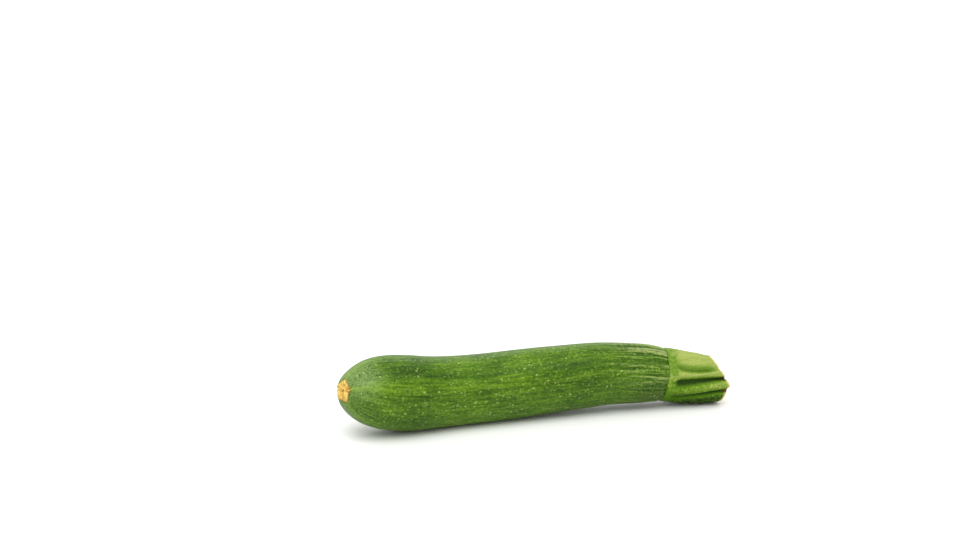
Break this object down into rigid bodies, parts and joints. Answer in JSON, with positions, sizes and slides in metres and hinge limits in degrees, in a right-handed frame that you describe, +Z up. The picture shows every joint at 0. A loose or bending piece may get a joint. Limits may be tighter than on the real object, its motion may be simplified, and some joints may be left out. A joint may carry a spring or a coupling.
{
  "type": "courgette",
  "caption": "Whole courgette as picked, gently bowed and lying on its belly, with a ridged, obliquely cut stalk stub and a corky blossom scar.",
  "frame": {"origin": "on the floor, under the middle of the whole courgette's box", "axes": "+X from the blossom end to the stalk, +Z up, the hollow side of the bow faces -Y"},
  "size_m": [0.2, 0.0394, 0.0379],
  "materials": {
    "skin": "waxy satin green with pale flecks and fine lengthwise streaks",
    "stalk": "fibrous pale green with darker grooves and a cream, drying cut face"
  },
  "bodies": {
    "root": {"fruit": "skin", "stalk": "stalk"}
  },
  "joints": []
}
